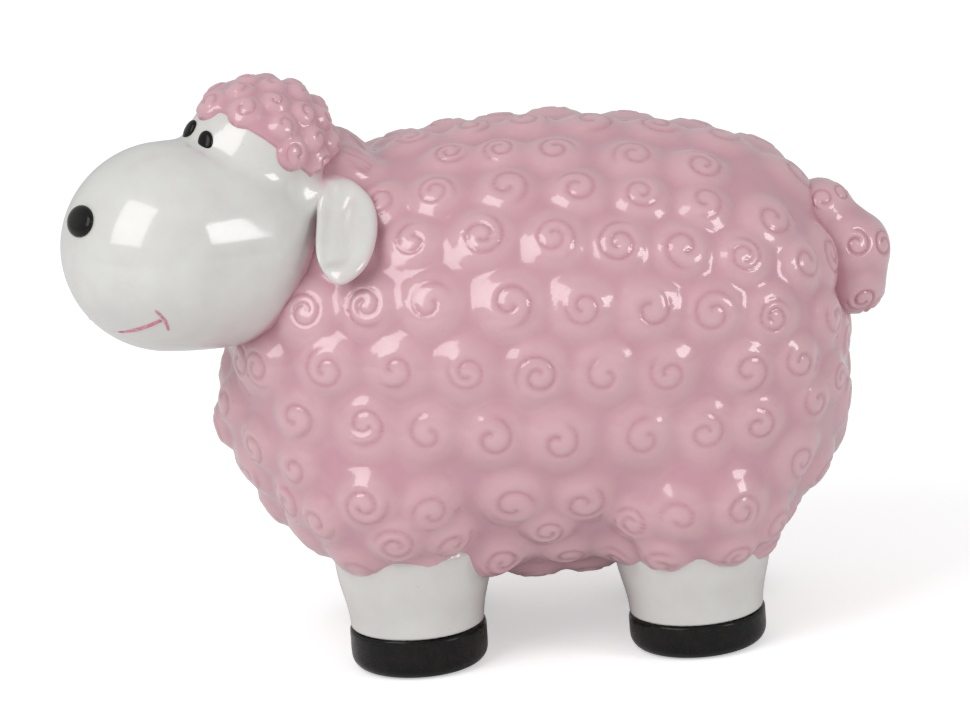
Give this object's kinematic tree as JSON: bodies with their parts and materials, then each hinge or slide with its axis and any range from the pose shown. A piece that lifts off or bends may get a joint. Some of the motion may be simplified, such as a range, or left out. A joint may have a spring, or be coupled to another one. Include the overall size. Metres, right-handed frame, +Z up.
{
  "type": "sheep figurine",
  "caption": "Free-standing glossy sheep figurine: round woolly body with raised curls, white face turned to one side, drooping ears, curly cap, bob tail and thick hooved legs.",
  "frame": {"origin": "middle of the figure's bounding box, on the surface that the hooves stand on", "axes": "+Z up, -X the way the body faces (the head is turned towards -Y), +X towards the tail, -Y the sheep's left side"},
  "size_m": [0.2896, 0.149, 0.213],
  "materials": {
    "pink_wool_glaze": "glossy pink glaze over raised curls",
    "white_glaze": "glossy smooth white glaze",
    "black_glaze": "glossy black enamel",
    "mouth_enamel": "thin glossy pink-red brush line"
  },
  "bodies": {
    "root": {"body_shell": "pink_wool_glaze", "wool_cap": "pink_wool_glaze", "tail": "pink_wool_glaze", "head_shell": "white_glaze", "left_ear": "white_glaze", "right_ear": "white_glaze", "front_left_leg": "white_glaze", "front_right_leg": "white_glaze", "rear_left_leg": "white_glaze", "rear_right_leg": "white_glaze", "nose": "black_glaze", "left_eye": "black_glaze", "right_eye": "black_glaze", "front_left_hoof": "black_glaze", "front_right_hoof": "black_glaze", "rear_left_hoof": "black_glaze", "rear_right_hoof": "black_glaze", "smile": "mouth_enamel"}
  },
  "joints": []
}
